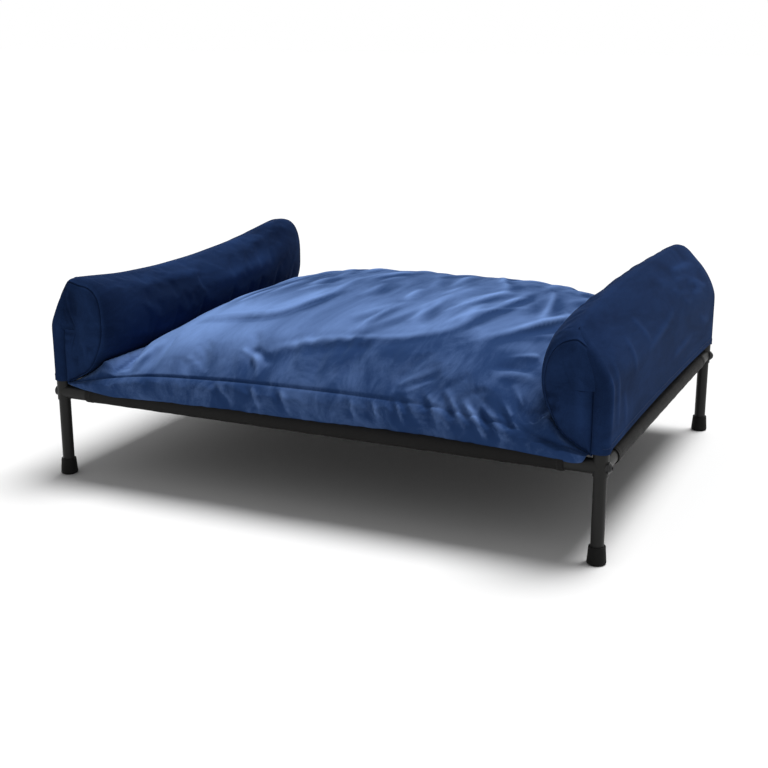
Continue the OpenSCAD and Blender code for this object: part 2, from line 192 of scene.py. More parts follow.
# Woven sling
# A mat of black coated yarn, stretched between the four rails and lapped on to hem sleeves
# that are sewn round them with two rows of thread; the sleeves stop short of the corners.
def turn_outward(mesh):
    """Turns a mesh's faces outward and shades them smooth."""
    turned = bmesh.new()
    turned.from_mesh(mesh)
    bmesh.ops.recalc_face_normals(turned, faces=turned.faces)
    turned.to_mesh(mesh)
    turned.free()
    mesh.polygons.foreach_set("use_smooth", np.ones(len(mesh.polygons), bool))


def path_length(points):
    """How far along a path each of its points lies."""
    return np.r_[0, np.cumsum(np.linalg.norm(np.diff(points, axis=0), axis=1))]


def shell(name, outer, inner, closed=False):
    """A closed thin cloth from its outer and inner grids of points [along, round], with a map in metres."""
    n, m = outer.shape[:2]
    points = np.concatenate([outer.reshape(-1, 3), inner.reshape(-1, 3)])
    along = np.r_[0, np.cumsum(np.linalg.norm(np.diff(outer, axis=0), axis=2).mean(1))]
    round_it = np.concatenate([outer, outer[:, :1]], axis=1)
    across = np.r_[0, np.cumsum(np.linalg.norm(np.diff(round_it, axis=1), axis=2).mean(0))]
    steps = m if closed else m - 1
    faces, places = [], []

    def add(corners, layers):
        faces.append([layer * n * m + i * m + j % m for (i, j), layer in zip(corners, layers)])
        places.extend((along[i], across[j]) for i, j in corners)

    for j in range(steps):
        for i in range(n - 1):
            square = [(i, j), (i + 1, j), (i + 1, j + 1), (i, j + 1)]
            add(square, (0, 0, 0, 0))
            add(square[::-1], (1, 1, 1, 1))
        add([(0, j), (0, j + 1), (0, j + 1), (0, j)], (0, 0, 1, 1))
        add([(n - 1, j + 1), (n - 1, j), (n - 1, j), (n - 1, j + 1)], (0, 0, 1, 1))
    if not closed:
        for i in range(n - 1):
            add([(i + 1, 0), (i, 0), (i, 0), (i + 1, 0)], (0, 0, 1, 1))
            add([(i, m - 1), (i + 1, m - 1), (i + 1, m - 1), (i, m - 1)], (0, 0, 1, 1))
    mesh = bpy.data.meshes.new(name)
    mesh.from_pydata(points.tolist(), [], faces)
    layer = mesh.uv_layers.new(name="cloth")
    layer.data.foreach_set("uv", np.array(places, np.float32).ravel())
    turn_outward(mesh)
    mesh.set_sharp_from_angle(angle=math.radians(50))
    return show(name, mesh)


def thread_row(name, path, normals, pitch, stitch, thick):
    """One row of stitches along a path: each a short bead of thread that dips into the cloth at its ends."""
    path, normals = np.asarray(path, float), np.asarray(normals, float)
    gone = path_length(path)
    sides, rings = 6, 5

    def read(table, at):
        return np.array([np.interp(at, gone, table[:, k]) for k in range(3)])

    points, faces = [], []
    for start in np.arange(pitch * 0.3, gone[-1] - stitch, pitch):
        base = len(points)
        for r in range(rings):
            share = r / (rings - 1)
            at = start + share * stitch
            here, up = read(path, at), read(normals, at)
            ahead = read(path, at + 1e-4) - here
            ahead, up = ahead / np.linalg.norm(ahead), up / np.linalg.norm(up)
            wide = np.cross(ahead, up)
            swell = thick / 2 * (0.55 + 0.45 * math.sin(math.pi * share))
            here = here + up * thick * (0.55 * math.sin(math.pi * share) - 0.25)
            for s in range(sides):
                a = 2 * math.pi * s / sides
                points.append(here + swell * (math.cos(a) * wide + math.sin(a) * up))
        for r in range(rings - 1):
            for s in range(sides):
                a, b = base + r * sides + s, base + r * sides + (s + 1) % sides
                faces.append([a, b, b + sides, a + sides])
        faces.append([base + s for s in range(sides)][::-1])
        faces.append([base + (rings - 1) * sides + s for s in range(sides)])
    mesh = bpy.data.meshes.new(name)
    mesh.from_pydata([p.tolist() for p in points], [], faces)
    mesh.polygons.foreach_set("use_smooth", np.ones(len(mesh.polygons), bool))
    return show(name, mesh)


yarn_pitch = 0.0016
weave, weave_in, weave_out = new_group(
    "plain_weave", [("Pitch", "NodeSocketFloat", yarn_pitch)],
    [("Height", "NodeSocketFloat"), ("Yarn", "NodeSocketFloat")],
)
weave_map = node(weave, "ShaderNodeUVMap", {"uv_map": "cloth"}, {}).outputs["UV"]
weave_axes = node(weave, "ShaderNodeSeparateXYZ", {}, {"Vector": weave_map}).outputs
weave_waves = []
for axis in ("X", "Y"):
    count = maths(weave, "DIVIDE", weave_axes[axis], weave_in["Pitch"])
    weave_waves.append(maths(weave, "SINE", maths(weave, "MULTIPLY", count, math.pi)))
weave_cross = maths(weave, "MULTIPLY", *weave_waves)
feed(weave, weave_out["Height"], maths(weave, "ABSOLUTE", weave_cross))
feed(weave, weave_out["Yarn"], spread(weave, weave_cross, -0.5, 0.5))

sling_cloth, sling_tree, sling_shader = new_finish(
    "coated_yarn", {"Roughness": 0.68, "Specular IOR Level": 0.14})
sling_weave = place_group(sling_tree, weave, {"Pitch": yarn_pitch})
sling_skin = place_group(sling_tree, skin, {"Grain": 900.0, "Patches": 14.0})
sling_share = maths(sling_tree, "MULTIPLY", sling_weave["Yarn"], sling_skin["Tone"])
sling_tone = blend(sling_tree, sling_share, (0.0075, 0.0072, 0.0072, 1), (0.018, 0.0175, 0.017, 1))
feed(sling_tree, sling_shader.inputs["Base Color"], sling_tone)
raise_skin(sling_tree, sling_shader, sling_weave["Height"], 0.8, 0.0003)

black_thread, thread_tree, thread_shader = new_finish("black_thread", {"Roughness": 0.55})
thread_skin = place_group(thread_tree, skin, {"Grain": 3000.0, "Patches": 60.0})
thread_tone = blend(thread_tree, thread_skin["Tone"], (0.008, 0.008, 0.008, 1), (0.028, 0.028, 0.028, 1))
feed(thread_tree, thread_shader.inputs["Base Color"], thread_tone)

leg_x, leg_y, rail_z = 0.450, 0.340, 0.141
panel_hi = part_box("sling_panel")[1]
panel_x, panel_y, panel_cut, panel_sag, panel_ripple = panel_hi.x, panel_hi.y, 0.030, 0.0011, 0.00025
sleeve_r, sling_thick, seam_reach, seam_rows = 0.0122, 0.001, 0.032, (0.0205, 0.0265)
long_half, short_half, hem_wide, hem_thick, hem_row = 0.400, 0.290, 0.0105, 0.0006, 0.0085
hem_end, plain_from, seam_stop, stitch_sunk = 0.012, 0.018, 0.006, 0.0001
up_axis = np.array([0, 0, 1.0])
u, v = np.meshgrid(np.linspace(-1, 1, 87), np.linspace(-1, 1, 65), indexing="ij")
y = v * panel_y
x = u * (panel_x - np.maximum(0, np.abs(y) - (panel_y - panel_cut)))
give = panel_sag * (1 - u**2) * (1 - v**2)
ripple = np.sin(9 * x / panel_x + 1.3) * np.sin(7 * y / panel_y + 0.4)
give += panel_ripple * ripple * (1 - u**4) * (1 - v**4)
panel_top = np.stack([x, y, panel_hi.z - give], axis=2)
sling_panel = shell("woven_mat", panel_top, panel_top - (0, 0, sling_thick))
sling_panel.data.materials.append(sling_cloth)
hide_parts("sling_panel")
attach(sling_panel, "frame")

# The sleeve's section in [inward, up]: from the seam over the rail, round outside and below it, and back
tangent = 2 * math.atan2(sleeve_r, seam_reach) - math.pi / 2 + 2 * math.pi
arc = np.linspace(math.pi / 2, tangent, 44)
leave = sleeve_r * np.array([math.cos(tangent), math.sin(tangent)])
seam = np.array([seam_reach, sleeve_r])
lead_in = seam + (np.array([0, sleeve_r]) - seam) * np.linspace(0, 1, 9)[:-1, None]
section = np.concatenate([
    lead_in,
    sleeve_r * np.stack([np.cos(arc), np.sin(arc)], axis=1),
    leave + (seam - leave) * np.linspace(0, 1, 10)[1:-1, None],
])
round_rail = section[len(lead_in):len(lead_in) + len(arc)] / sleeve_r
for name, half, rail, reach, inward, along in [
    ("front", long_half, "front_rail", leg_y, (0, 1), (1, 0)),
    ("rear", long_half, "rear_rail", leg_y, (0, -1), (1, 0)),
    ("left", short_half, "left_end_rail", leg_x, (1, 0), (0, 1)),
    ("right", short_half, "right_end_rail", leg_x, (-1, 0), (0, 1)),
]:
    inward, along = np.array([*inward, 0.0]), np.array([*along, 0.0])
    axis = -inward * reach + (0, 0, rail_z)
    ends = np.linspace(0, hem_end, 7)
    between = np.linspace(-half + plain_from, half - plain_from, 96)
    stations = np.r_[ends - half, between, half - ends[::-1]]
    hem = hem_thick * (np.abs(stations) > half - hem_wide)
    slack = 0.00016 * np.sin(97 * stations + 1.7) + 0.0001 * np.sin(211 * stations)
    size = 1 + (hem + slack) / sleeve_r
    centre = axis + stations[:, None, None] * along
    outer = centre + (section[None, :, :1] * size[:, None, None]) * inward
    outer = outer + (section[None, :, 1:] * size[:, None, None]) * up_axis
    inner = centre + (outer - centre) * ((sleeve_r - sling_thick) / (sleeve_r + hem + slack))[:, None, None]
    sleeve = shell(f"{name}_hem_sleeve", outer, inner, closed=True)
    sleeve.data.materials.append(sling_cloth)
    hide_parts(f"{name}_sleeve")
    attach(sleeve, "frame")
    rows = []
    for k, row_reach in enumerate(seam_rows):
        start = axis + inward * row_reach + (0, 0, panel_hi.z - rail_z - stitch_sunk)
        line = [start + along * s for s in (seam_stop - half, half - seam_stop)]
        rows.append(thread_row(f"{name}_seam_{k + 1}", line, [up_axis, up_axis],
                               pitch=0.0042, stitch=0.0034, thick=0.0005))
    facing = [p * inward + q * up_axis for p, q in round_rail]
    for label, end in (("first", -1), ("second", 1)):
        ring = [axis + along * end * (half - hem_row) + (sleeve_r + hem_thick) * out for out in facing]
        rows.append(thread_row(f"{name}_hem_{label}", ring, facing,
                               pitch=0.0036, stitch=0.0029, thick=0.0006))
    for row in rows:
        row.data.materials.append(black_thread)
        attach(row, "frame")


# Bolsters
# A stuffed velvet bolster on each short end, D-shaped in section, with a sewn end panel. Its outer
# cloth runs on down over the hoop as a pocket, open below, that slips over the hoop and wraps its uprights.
def soft_piece(name, points, faces):
    """A smooth mesh of cloth from points and faces, its normals turned outward."""
    mesh = bpy.data.meshes.new(name)
    mesh.from_pydata(np.asarray(points).tolist(), [], faces)
    turn_outward(mesh)
    return show(name, mesh)


def coords(obj):
    """The mesh's points, and its normals, as arrays."""
    count = len(obj.data.vertices)
    points, normals = np.zeros(count * 3), np.zeros(count * 3)
    obj.data.vertices.foreach_get("co", points)
    obj.data.vertices.foreach_get("normal", normals)
    return points.reshape(-1, 3), normals.reshape(-1, 3)


def set_coords(obj, points):
    """Moves the mesh's points."""
    obj.data.vertices.foreach_set("co", np.asarray(points, np.float32).ravel())
    obj.data.update()


def add_attribute(obj, name, values):
    """Keeps one value for each point of the mesh, for its material to read."""
    obj.data.attributes.new(name, "FLOAT", "POINT").data.foreach_set("value", np.asarray(values, np.float32))


def subdivide(obj):
    """Smooths a mesh by one level of subdivision."""
    softer = obj.modifiers.new("softer", "SUBSURF")
    softer.levels = softer.render_levels = 1


def ramp(value, start, length):
    """How far a value is past a start, as a share of a length, from 0 to 1."""
    return np.clip((value - start) / length, 0, 1)


def fold(points, path, height, width):
    """How far a fold of the cloth rises at each point: a ridge, or a furrow where height is below zero,
    along a path, dying away at both ends."""
    path = np.asarray(path, float)
    for _ in range(2):
        near, far = 0.75 * path[:-1] + 0.25 * path[1:], 0.25 * path[:-1] + 0.75 * path[1:]
        path = np.concatenate([path[:1], np.stack([near, far], axis=1).reshape(-1, 3), path[-1:]])
    reach = 3 * width
    close = np.all((points > path.min(0) - reach) & (points < path.max(0) + reach), axis=1)
    rise = np.zeros(len(points))
    points = points[close]
    gone = path_length(path)
    best, share = np.full(len(points), 1e9), np.zeros(len(points))
    for a, b, start, end in zip(path[:-1], path[1:], gone[:-1], gone[1:]):
        t = np.clip(((points - a) @ (b - a)) / ((b - a) @ (b - a)), 0, 1)
        d = np.linalg.norm(points - a - t[:, None] * (b - a), axis=1)
        closer = d < best
        best[closer], share[closer] = d[closer], ((start + t * (end - start)) / gone[-1])[closer]
    rise[close] = height * np.sin(np.pi * np.clip(share, 0, 1)) ** 0.7 * np.exp(-((best / width) ** 2))
    return rise


def plump(obj, held, pressure, growth, bend, cap):
    """Blows a sewn cloth up with Blender's cloth simulation and gives how far each point moves. The held
    points stay, and the cloth is cut larger than its seams by growth, so that it puckers along them;
    no shift is past cap."""
    last_frame = 20
    rest, _ = coords(obj)
    group = obj.vertex_groups.new(name="held")
    group.add([int(k) for k in np.flatnonzero(held)], 1.0, "REPLACE")
    cloth = obj.modifiers.new("cloth", "CLOTH")
    cloth.settings.quality, cloth.settings.mass, cloth.settings.air_damping = 5, 0.12, 2.0
    cloth.settings.tension_stiffness = cloth.settings.compression_stiffness = 14.0
    cloth.settings.shear_stiffness, cloth.settings.bending_stiffness = 4.0, bend
    cloth.settings.use_pressure, cloth.settings.uniform_pressure_force = True, pressure
    cloth.settings.shrink_min = -growth
    cloth.settings.vertex_group_mass = "held"
    cloth.settings.effector_weights.gravity = 0.0
    cloth.collision_settings.use_collision = False
    cloth.point_cache.frame_start, cloth.point_cache.frame_end = 1, last_frame
    scene = bpy.context.scene
    for step in range(1, last_frame + 1):
        scene.frame_set(step)
    blown = np.zeros(len(rest) * 3)
    obj.evaluated_get(bpy.context.evaluated_depsgraph_get()).data.vertices.foreach_get("co", blown)
    obj.modifiers.remove(cloth)
    scene.frame_set(1)
    shift = blown.reshape(-1, 3) - rest
    far = np.maximum(1e-9, np.linalg.norm(shift, axis=1))
    return shift * np.minimum(1, cap / far)[:, None]


def refine(coarse, closed=False):
    """A grid with every second row and column filled in smoothly; a closed one runs round in its
    second direction."""
    across = coarse.shape[1]
    if closed:
        coarse = np.concatenate([coarse[:, -2:], coarse, coarse[:, :3]], axis=1)
    for axis in (0, 1):
        coarse = np.moveaxis(coarse, axis, 0)
        ends = np.concatenate([2 * coarse[:1] - coarse[1:2], coarse, 2 * coarse[-1:] - coarse[-2:-1]])
        between = (9 * (ends[1:-2] + ends[2:-1]) - ends[:-3] - ends[3:]) / 16
        fine = np.zeros((2 * len(coarse) - 1, *coarse.shape[1:]))
        fine[::2], fine[1::2] = coarse, between
        coarse = np.moveaxis(fine, 0, axis)
    return coarse[:, 4:4 + 2 * across] if closed else coarse


# The pile's colour lies between a deep colour and a light one: a painted light and shade kept on the mesh
# sets where, and random streaks and fibres of the pile shift it
pile, pile_in, pile_out = new_group(
    "velvet_pile_and_painted_light",
    [("Painted Light", "NodeSocketFloat", 0.5), ("Deep", "NodeSocketColor", (0.01, 0.02, 0.06, 1)),
     ("Lit and Brushed", "NodeSocketColor", (0.03, 0.06, 0.16, 1)), ("Drift", "NodeSocketFloat", 0.5)],
    [("Color", "NodeSocketColor"), ("Height", "NodeSocketFloat")],
)
pile_place = pile.nodes.new("ShaderNodeTexCoord").outputs["Object"]
pile_lean = node(pile, "ShaderNodeMapping", {"vector_type": "TEXTURE"}, {
    "Vector": pile_place, "Scale": (1.7, 0.42, 0.5), "Rotation": (0.0, 0.0, 1.40)}).outputs["Vector"]
pile_streak = node(pile, "ShaderNodeTexNoise", {}, {
    "Vector": pile_lean, "Scale": 7.0, "Detail": 9.0, "Roughness": 0.64, "Distortion": 0.6}).outputs["Fac"]
pile_fibre = node(pile, "ShaderNodeTexNoise", {}, {
    "Vector": pile_place, "Scale": 1500.0, "Detail": 2.0, "Roughness": 0.6}).outputs["Fac"]
pile_shift = maths(pile, "MULTIPLY", spread(pile, pile_streak, 0.3, 0.7, -1.0, 1.0), pile_in["Drift"])
pile_grain = spread(pile, pile_fibre, 0.2, 0.8, -0.12, 0.12)
light_and_pile_share = maths(pile, "ADD", maths(pile, "ADD", pile_in["Painted Light"], pile_shift), pile_grain, clamp=True)
feed(pile, pile_out["Color"], blend(pile, light_and_pile_share, pile_in["Deep"], pile_in["Lit and Brushed"]))
feed(pile, pile_out["Height"], pile_fibre)


def velvet(name, deep, lighter, drift, sheen, sheen_rough, sheen_tint):
    """Short-pile velvet: a matt ground, lighter and darker by the painted light and shade kept on the mesh
    and by random streaks of the pile, with a sheen at its edges."""
    made, tree, shader = new_finish(name, {
        "Roughness": 0.9, "Specular IOR Level": 0.03, "Sheen Weight": sheen, "Sheen Roughness": sheen_rough,
        "Sheen Tint": (*sheen_tint, 1),
    })
    # Reads the painted light and shade kept on the mesh
    painted_light = node(tree, "ShaderNodeAttribute", {"attribute_name": "painted_light"}, {}).outputs["Fac"]
    values = {"Painted Light": painted_light, "Deep": (*deep, 1), "Lit and Brushed": (*lighter, 1), "Drift": drift}
    cloth = place_group(tree, pile, values)
    feed(tree, shader.inputs["Base Color"], cloth["Color"])
    raise_skin(tree, shader, cloth["Height"], 0.35, 0.0003)
    return made


bolster_velvet = velvet("bolster_velvet", (0.0055, 0.014, 0.045), (0.040, 0.097, 0.29), 0.12,
                        0.02, 0.4, (0.3, 0.55, 1.0))
blue_thread = black_finish("blue_thread", (0.011, 0.024, 0.066), (0.024, 0.05, 0.13), (0.5, 0.65),
                           0.00005, 3000.0, {"Specular IOR Level": 0.2})

# The hoop's bar and bends, the bolster's back, hem and ends, and how far its ends droop and hang at the back
bar_z, bend_y, bend_z, lip_radius = 0.253, 0.310, 0.223, 0.0128
back_x, hem_z, depth, bolster_end, pocket_radius = 0.4385, 0.166, 0.086, 0.3445, 0.0125
droop_deep, droop_x, droop_wide, hang_deep, hang_x, hang_wide = 0.0055, 0.409, 0.02, 0.0065, 0.4325, 0.004
panel_middle = np.array([back_x - 0.030, 0, hem_z + 0.082])
round_end = 0.020


def lip_height(y, radius):
    """Height of a cloth that lies over the hoop, a given distance from its axis, at places along it."""
    past = np.maximum(0, np.abs(y) - bend_y)
    return bend_z + np.sqrt(np.maximum(0, (bar_z - bend_z + radius) ** 2 - past**2))


def smooth_line(known, at):
    """A smooth curve through known points, read at other places."""
    known = np.array(known)
    fine = np.linspace(known[0, 0], known[-1, 0], 400)
    raw = np.interp(fine, known[:, 0], known[:, 1])
    kernel = np.hanning(61)
    before, after = raw[0] + (raw[0] - raw[1:31][::-1]), raw[-1] + (raw[-1] - raw[-31:-1][::-1])
    return np.interp(at, fine, np.convolve(np.r_[before, raw, after], kernel / kernel.sum(), "valid"))


def spaced(line, count, endpoint=True):
    """A line of points in a plane, spaced evenly along it."""
    gone = path_length(line)
    at = np.linspace(0, gone[-1], count, endpoint=endpoint)
    return np.stack([np.interp(at, gone, line[:, k]) for k in range(2)], axis=1)


# Each bolster along Y: the height of its top, how far in its swell reaches, where its ridge lies, how square
# its shoulder is, how much its outer cloth bulges, and how much larger than its seams its cover is cut
bolster_shape = {
    "right": {
        "top": [(-0.353, 0.322), (-0.30, 0.338), (-0.235, 0.346), (-0.129, 0.3525), (-0.012, 0.356),
                (0.120, 0.355), (0.239, 0.352), (0.31, 0.347), (0.356, 0.325)],
        "inner": [(-0.353, 0.364), (-0.30, 0.357), (-0.15, 0.354), (0.0, 0.353), (0.15, 0.354),
                  (0.30, 0.357), (0.353, 0.364)],
        "ridge": [(-0.353, 0.410), (0.0, 0.409), (0.353, 0.406)],
        "square": 2.1, "bulge": 0.008, "loose": 0.016,
    },
    "left": {
        "top": [(-0.353, 0.333), (-0.312, 0.330), (-0.212, 0.319), (-0.110, 0.315), (0.0, 0.316),
                (0.143, 0.324), (0.258, 0.339), (0.311, 0.345), (0.34, 0.337), (0.356, 0.320)],
        "inner": [(-0.353, 0.358), (-0.30, 0.355), (-0.15, 0.358), (0.0, 0.360), (0.15, 0.363),
                  (0.30, 0.370), (0.353, 0.380)],
        "ridge": [(-0.353, 0.422), (-0.2, 0.421), (0.0, 0.418), (0.353, 0.412)],
        "square": 3.4, "bulge": 0.003, "loose": 0.009,
    },
}


def outer_profile(shape, y, count, inset=0.0):
    """The outer cloth's line in [x, z] at a place along the bolster: up from the hem, over the hoop,
    in to the ridge."""
    top, ridge = float(smooth_line(shape["top"], y)), float(smooth_line(shape["ridge"], y))
    knee = bar_z + 0.007 - 0.010 * ramp(abs(y), 0.30, 0.045)
    up = np.linspace(0, 1, 40)[:, None]
    out_x = leg_x + pocket_radius
    wall = np.array([out_x, hem_z]) * (1 - up) + np.array([out_x, knee]) * up
    start, end = wall[-1], np.array([ridge + 0.004, top - 0.0008])
    across = np.array([end[1] - start[1], start[0] - end[0]])
    across = across / np.linalg.norm(across)
    slope = start + (end - start) * up + np.sin(np.pi * up**0.85) * across * shape["bulge"]
    soft = spaced(np.concatenate([wall, slope[1:]]), count)
    for _ in range(7):
        soft[1:-1] = (soft[:-2] + 2 * soft[1:-1] + soft[2:]) / 4
    ahead = np.gradient(soft, axis=0)
    facing = np.stack([ahead[:, 1], -ahead[:, 0]], axis=1) / np.linalg.norm(ahead, axis=1)[:, None]
    return soft - facing * inset


def bolster_loop(shape, y, count):
    """The stuffed part's section in [x, z], count points evenly spaced: from the lip over the hoop up to
    the ridge, round the swell to the bottom, up the back, and out along the lip again."""
    top, inner, ridge = [float(smooth_line(shape[k], y)) for k in ("top", "inner", "ridge")]
    lip = float(lip_height(y, lip_radius))
    slope = outer_profile(shape, y, 80, 0.0016)
    slope = slope[slope[:, 1] > lip + 0.001]
    mid = hem_z + 0.090
    turn = np.linspace(math.radians(86), 0, 40)
    power = 2 / shape["square"]
    upper_x = ridge - (ridge - inner) * np.cos(turn) ** power
    upper = np.stack([upper_x, mid + (top - mid) * np.sin(turn) ** power], axis=1)
    turn = np.linspace(0, math.radians(90), 34)[1:]
    lower_x = back_x - (back_x - inner) * np.cos(turn)
    lower = np.stack([lower_x, mid - (mid - hem_z) * np.sin(turn)], axis=1)
    droop = droop_deep * ramp(abs(y), 0.25, 0.08)
    hang = hang_deep * ramp(abs(y), 0.30, 0.03)
    lower[:, 1] -= droop * ramp(lower_x, droop_x, droop_wide)
    lower[:, 1] -= hang * ramp(lower_x, hang_x, hang_wide)
    foot = hem_z - droop - hang
    rear = np.array([[back_x, foot + (lip - foot) * t] for t in np.linspace(0, 1, 24)[1:]])
    under = np.array([[back_x + (slope[0, 0] - back_x) * t, lip] for t in np.linspace(0, 1, 8)[1:]])
    loop = np.concatenate([slope, upper, lower, rear, under])
    return spaced(np.r_[loop, loop[:1]], count, endpoint=False)


def shoulder(points):
    """Draws the inner upper part of a bolster's last stretch in towards the seam of its end panel."""
    turned = ramp(np.abs(points[..., 1]), bolster_end - round_end, round_end)
    share = ramp(points[..., 0], 0.434, -0.03) * ramp(points[..., 2], 0.18, 0.03)
    share = (0.11 * (1 - np.sqrt(1 - turned**2)) * share)[..., None] * np.array([1, 0, 1])
    return points + (panel_middle - points) * share


def tube_mesh(name, grid):
    """A closed tube of rings of points, with a face over each end."""
    n, m = grid.shape[:2]
    faces = [[i * m + j, i * m + (j + 1) % m, (i + 1) * m + (j + 1) % m, (i + 1) * m + j]
             for i in range(n - 1) for j in range(m)]
    faces += [list(range(m))[::-1], [(n - 1) * m + j for j in range(m)]]
    return soft_piece(name, grid.reshape(-1, 3), faces)


# Streaks of the outer cloth, raised a little and painted lighter as sheen, as a line in millimetres, its
# height and its width; the same on both sides
pocket_streaks = [
    ([(461, -152, 262), (458, -48, 272), (452, 52, 285)], 1.7, 7),
    ([(463, 15, 212), (463, 93, 216), (463, 161, 218)], 1.4, 6),
    ([(459, -345, 300), (462, -341, 250), (462, -338, 185)], 1.6, 5),
    ([(456, -318, 290), (463, -312, 240), (463, -306, 185)], 1.4, 6),
    ([(463, -285, 235), (463, -270, 210), (463, -262, 180)], 1.2, 6),
    ([(440, -180, 312), (450, -150, 290), (459, -128, 268)], 1.5, 7),
    ([(463, 210, 240), (463, 250, 225), (463, 300, 215)], 1.2, 6),
    ([(448, -240, 300), (458, -225, 275), (463, -215, 240)], 1.2, 7),
]
chance = np.random.default_rng(5)

# Creases of each bolster, as a line in millimetres, its height and its width
left_panel_creases = (
    (311, -2.4), (297, -1.4), (283, -2.8), (273, -2.0), (262, -2.6), (251, -1.8), (240, -2.4), (226, -1.6))
bolster_creases = {
    "right": [
        ([(360, -350, 240), (374, -351, 236), (392, -351, 238)], -1.6, 4),
        ([(359, -350, 224), (376, -351, 218), (398, -351, 219)], -2.0, 4),
        ([(364, -350, 207), (384, -351, 199), (404, -351, 200)], -1.7, 4),
        ([(374, -350, 192), (392, -351, 185), (412, -351, 186)], -1.4, 4),
        ([(420, -351, 180), (423, -351, 230), (418, -351, 290)], 1.6, 7),
        ([(384, -350, 300), (398, -351, 306), (414, -351, 303)], -1.2, 5),
        ([(356, -250, 270), (353, -120, 262), (354, 10, 268)], -2.0, 14),
        ([(362, -300, 300), (360, -190, 306), (364, -80, 303)], 1.8, 12),
        ([(354, 60, 250), (353, 160, 258), (357, 280, 252)], 1.8, 13),
        ([(366, 90, 312), (364, 190, 306), (370, 290, 310)], -1.7, 12),
        ([(400, 340, 330), (380, 343, 300), (364, 345, 270)], -1.6, 6),
        ([(412, 350, 300), (410, 351, 250), (414, 351, 200)], 1.6, 8),
    ],
    "left": [
        *[([(-446, -350, z), (-426, -351, z + 4), (-404, -351, z)], height, 4)
          for z, height in left_panel_creases],
        ([(-376, -350, 225), (-394, -351, 214), (-412, -351, 218)], -1.7, 5),
        ([(-386, -350, 205), (-404, -351, 195), (-420, -351, 198)], -1.4, 4),
        ([(-361, -280, 285), (-358, -170, 292), (-359, -60, 286)], -2.2, 13),
        ([(-364, -230, 312), (-363, -110, 309), (-363, 20, 306)], 2.0, 10),
        ([(-359, -20, 270), (-360, 90, 276), (-365, 220, 284)], 2.2, 13),
        ([(-364, 80, 306), (-368, 170, 314), (-378, 280, 322)], -2.4, 11),
        ([(-402, 90, 328), (-402, 125, 331), (-402, 160, 334)], 2.4, 12),
        ([(-402, 180, 336), (-403, 200, 338), (-404, 220, 339)], -2.2, 10),
        ([(-404, 232, 341), (-404, 250, 342), (-405, 270, 343)], 2.0, 10),
        ([(-402, -150, 327), (-402, -110, 326), (-402, -60, 325)], 1.6, 14),
    ],
}
crease_gain = 1.4
# An end panel's rings, as a share of the section and how far out: a sewn groove, then a slight swell
panel_rings = [(0.990, 0.0016), (0.970, -0.0012), (0.952, 0.0024), (0.90, 0.0040), (0.80, 0.0052),
               (0.65, 0.0061), (0.48, 0.0066), (0.30, 0.0068), (0.12, 0.0069)]
groove_ring, lip_rings = len(panel_rings) - 2, (len(panel_rings) - 1, len(panel_rings))
# Cloth past held_x or below held_z stays where it is when the cover is blown up
held_x, held_z = 0.398, hem_z + 0.045
# The painted light and shade on the velvet: its plain level, painted shade on the swell facing the cushion,
# painted light on the end panels, a painted highlight on the lips of the end seam, and the pocket's plain
# level
plain_level, inner_shade, end_light, lip_highlight, pocket_level = 0.15, -0.08, 0.05, 0.07, 0.13
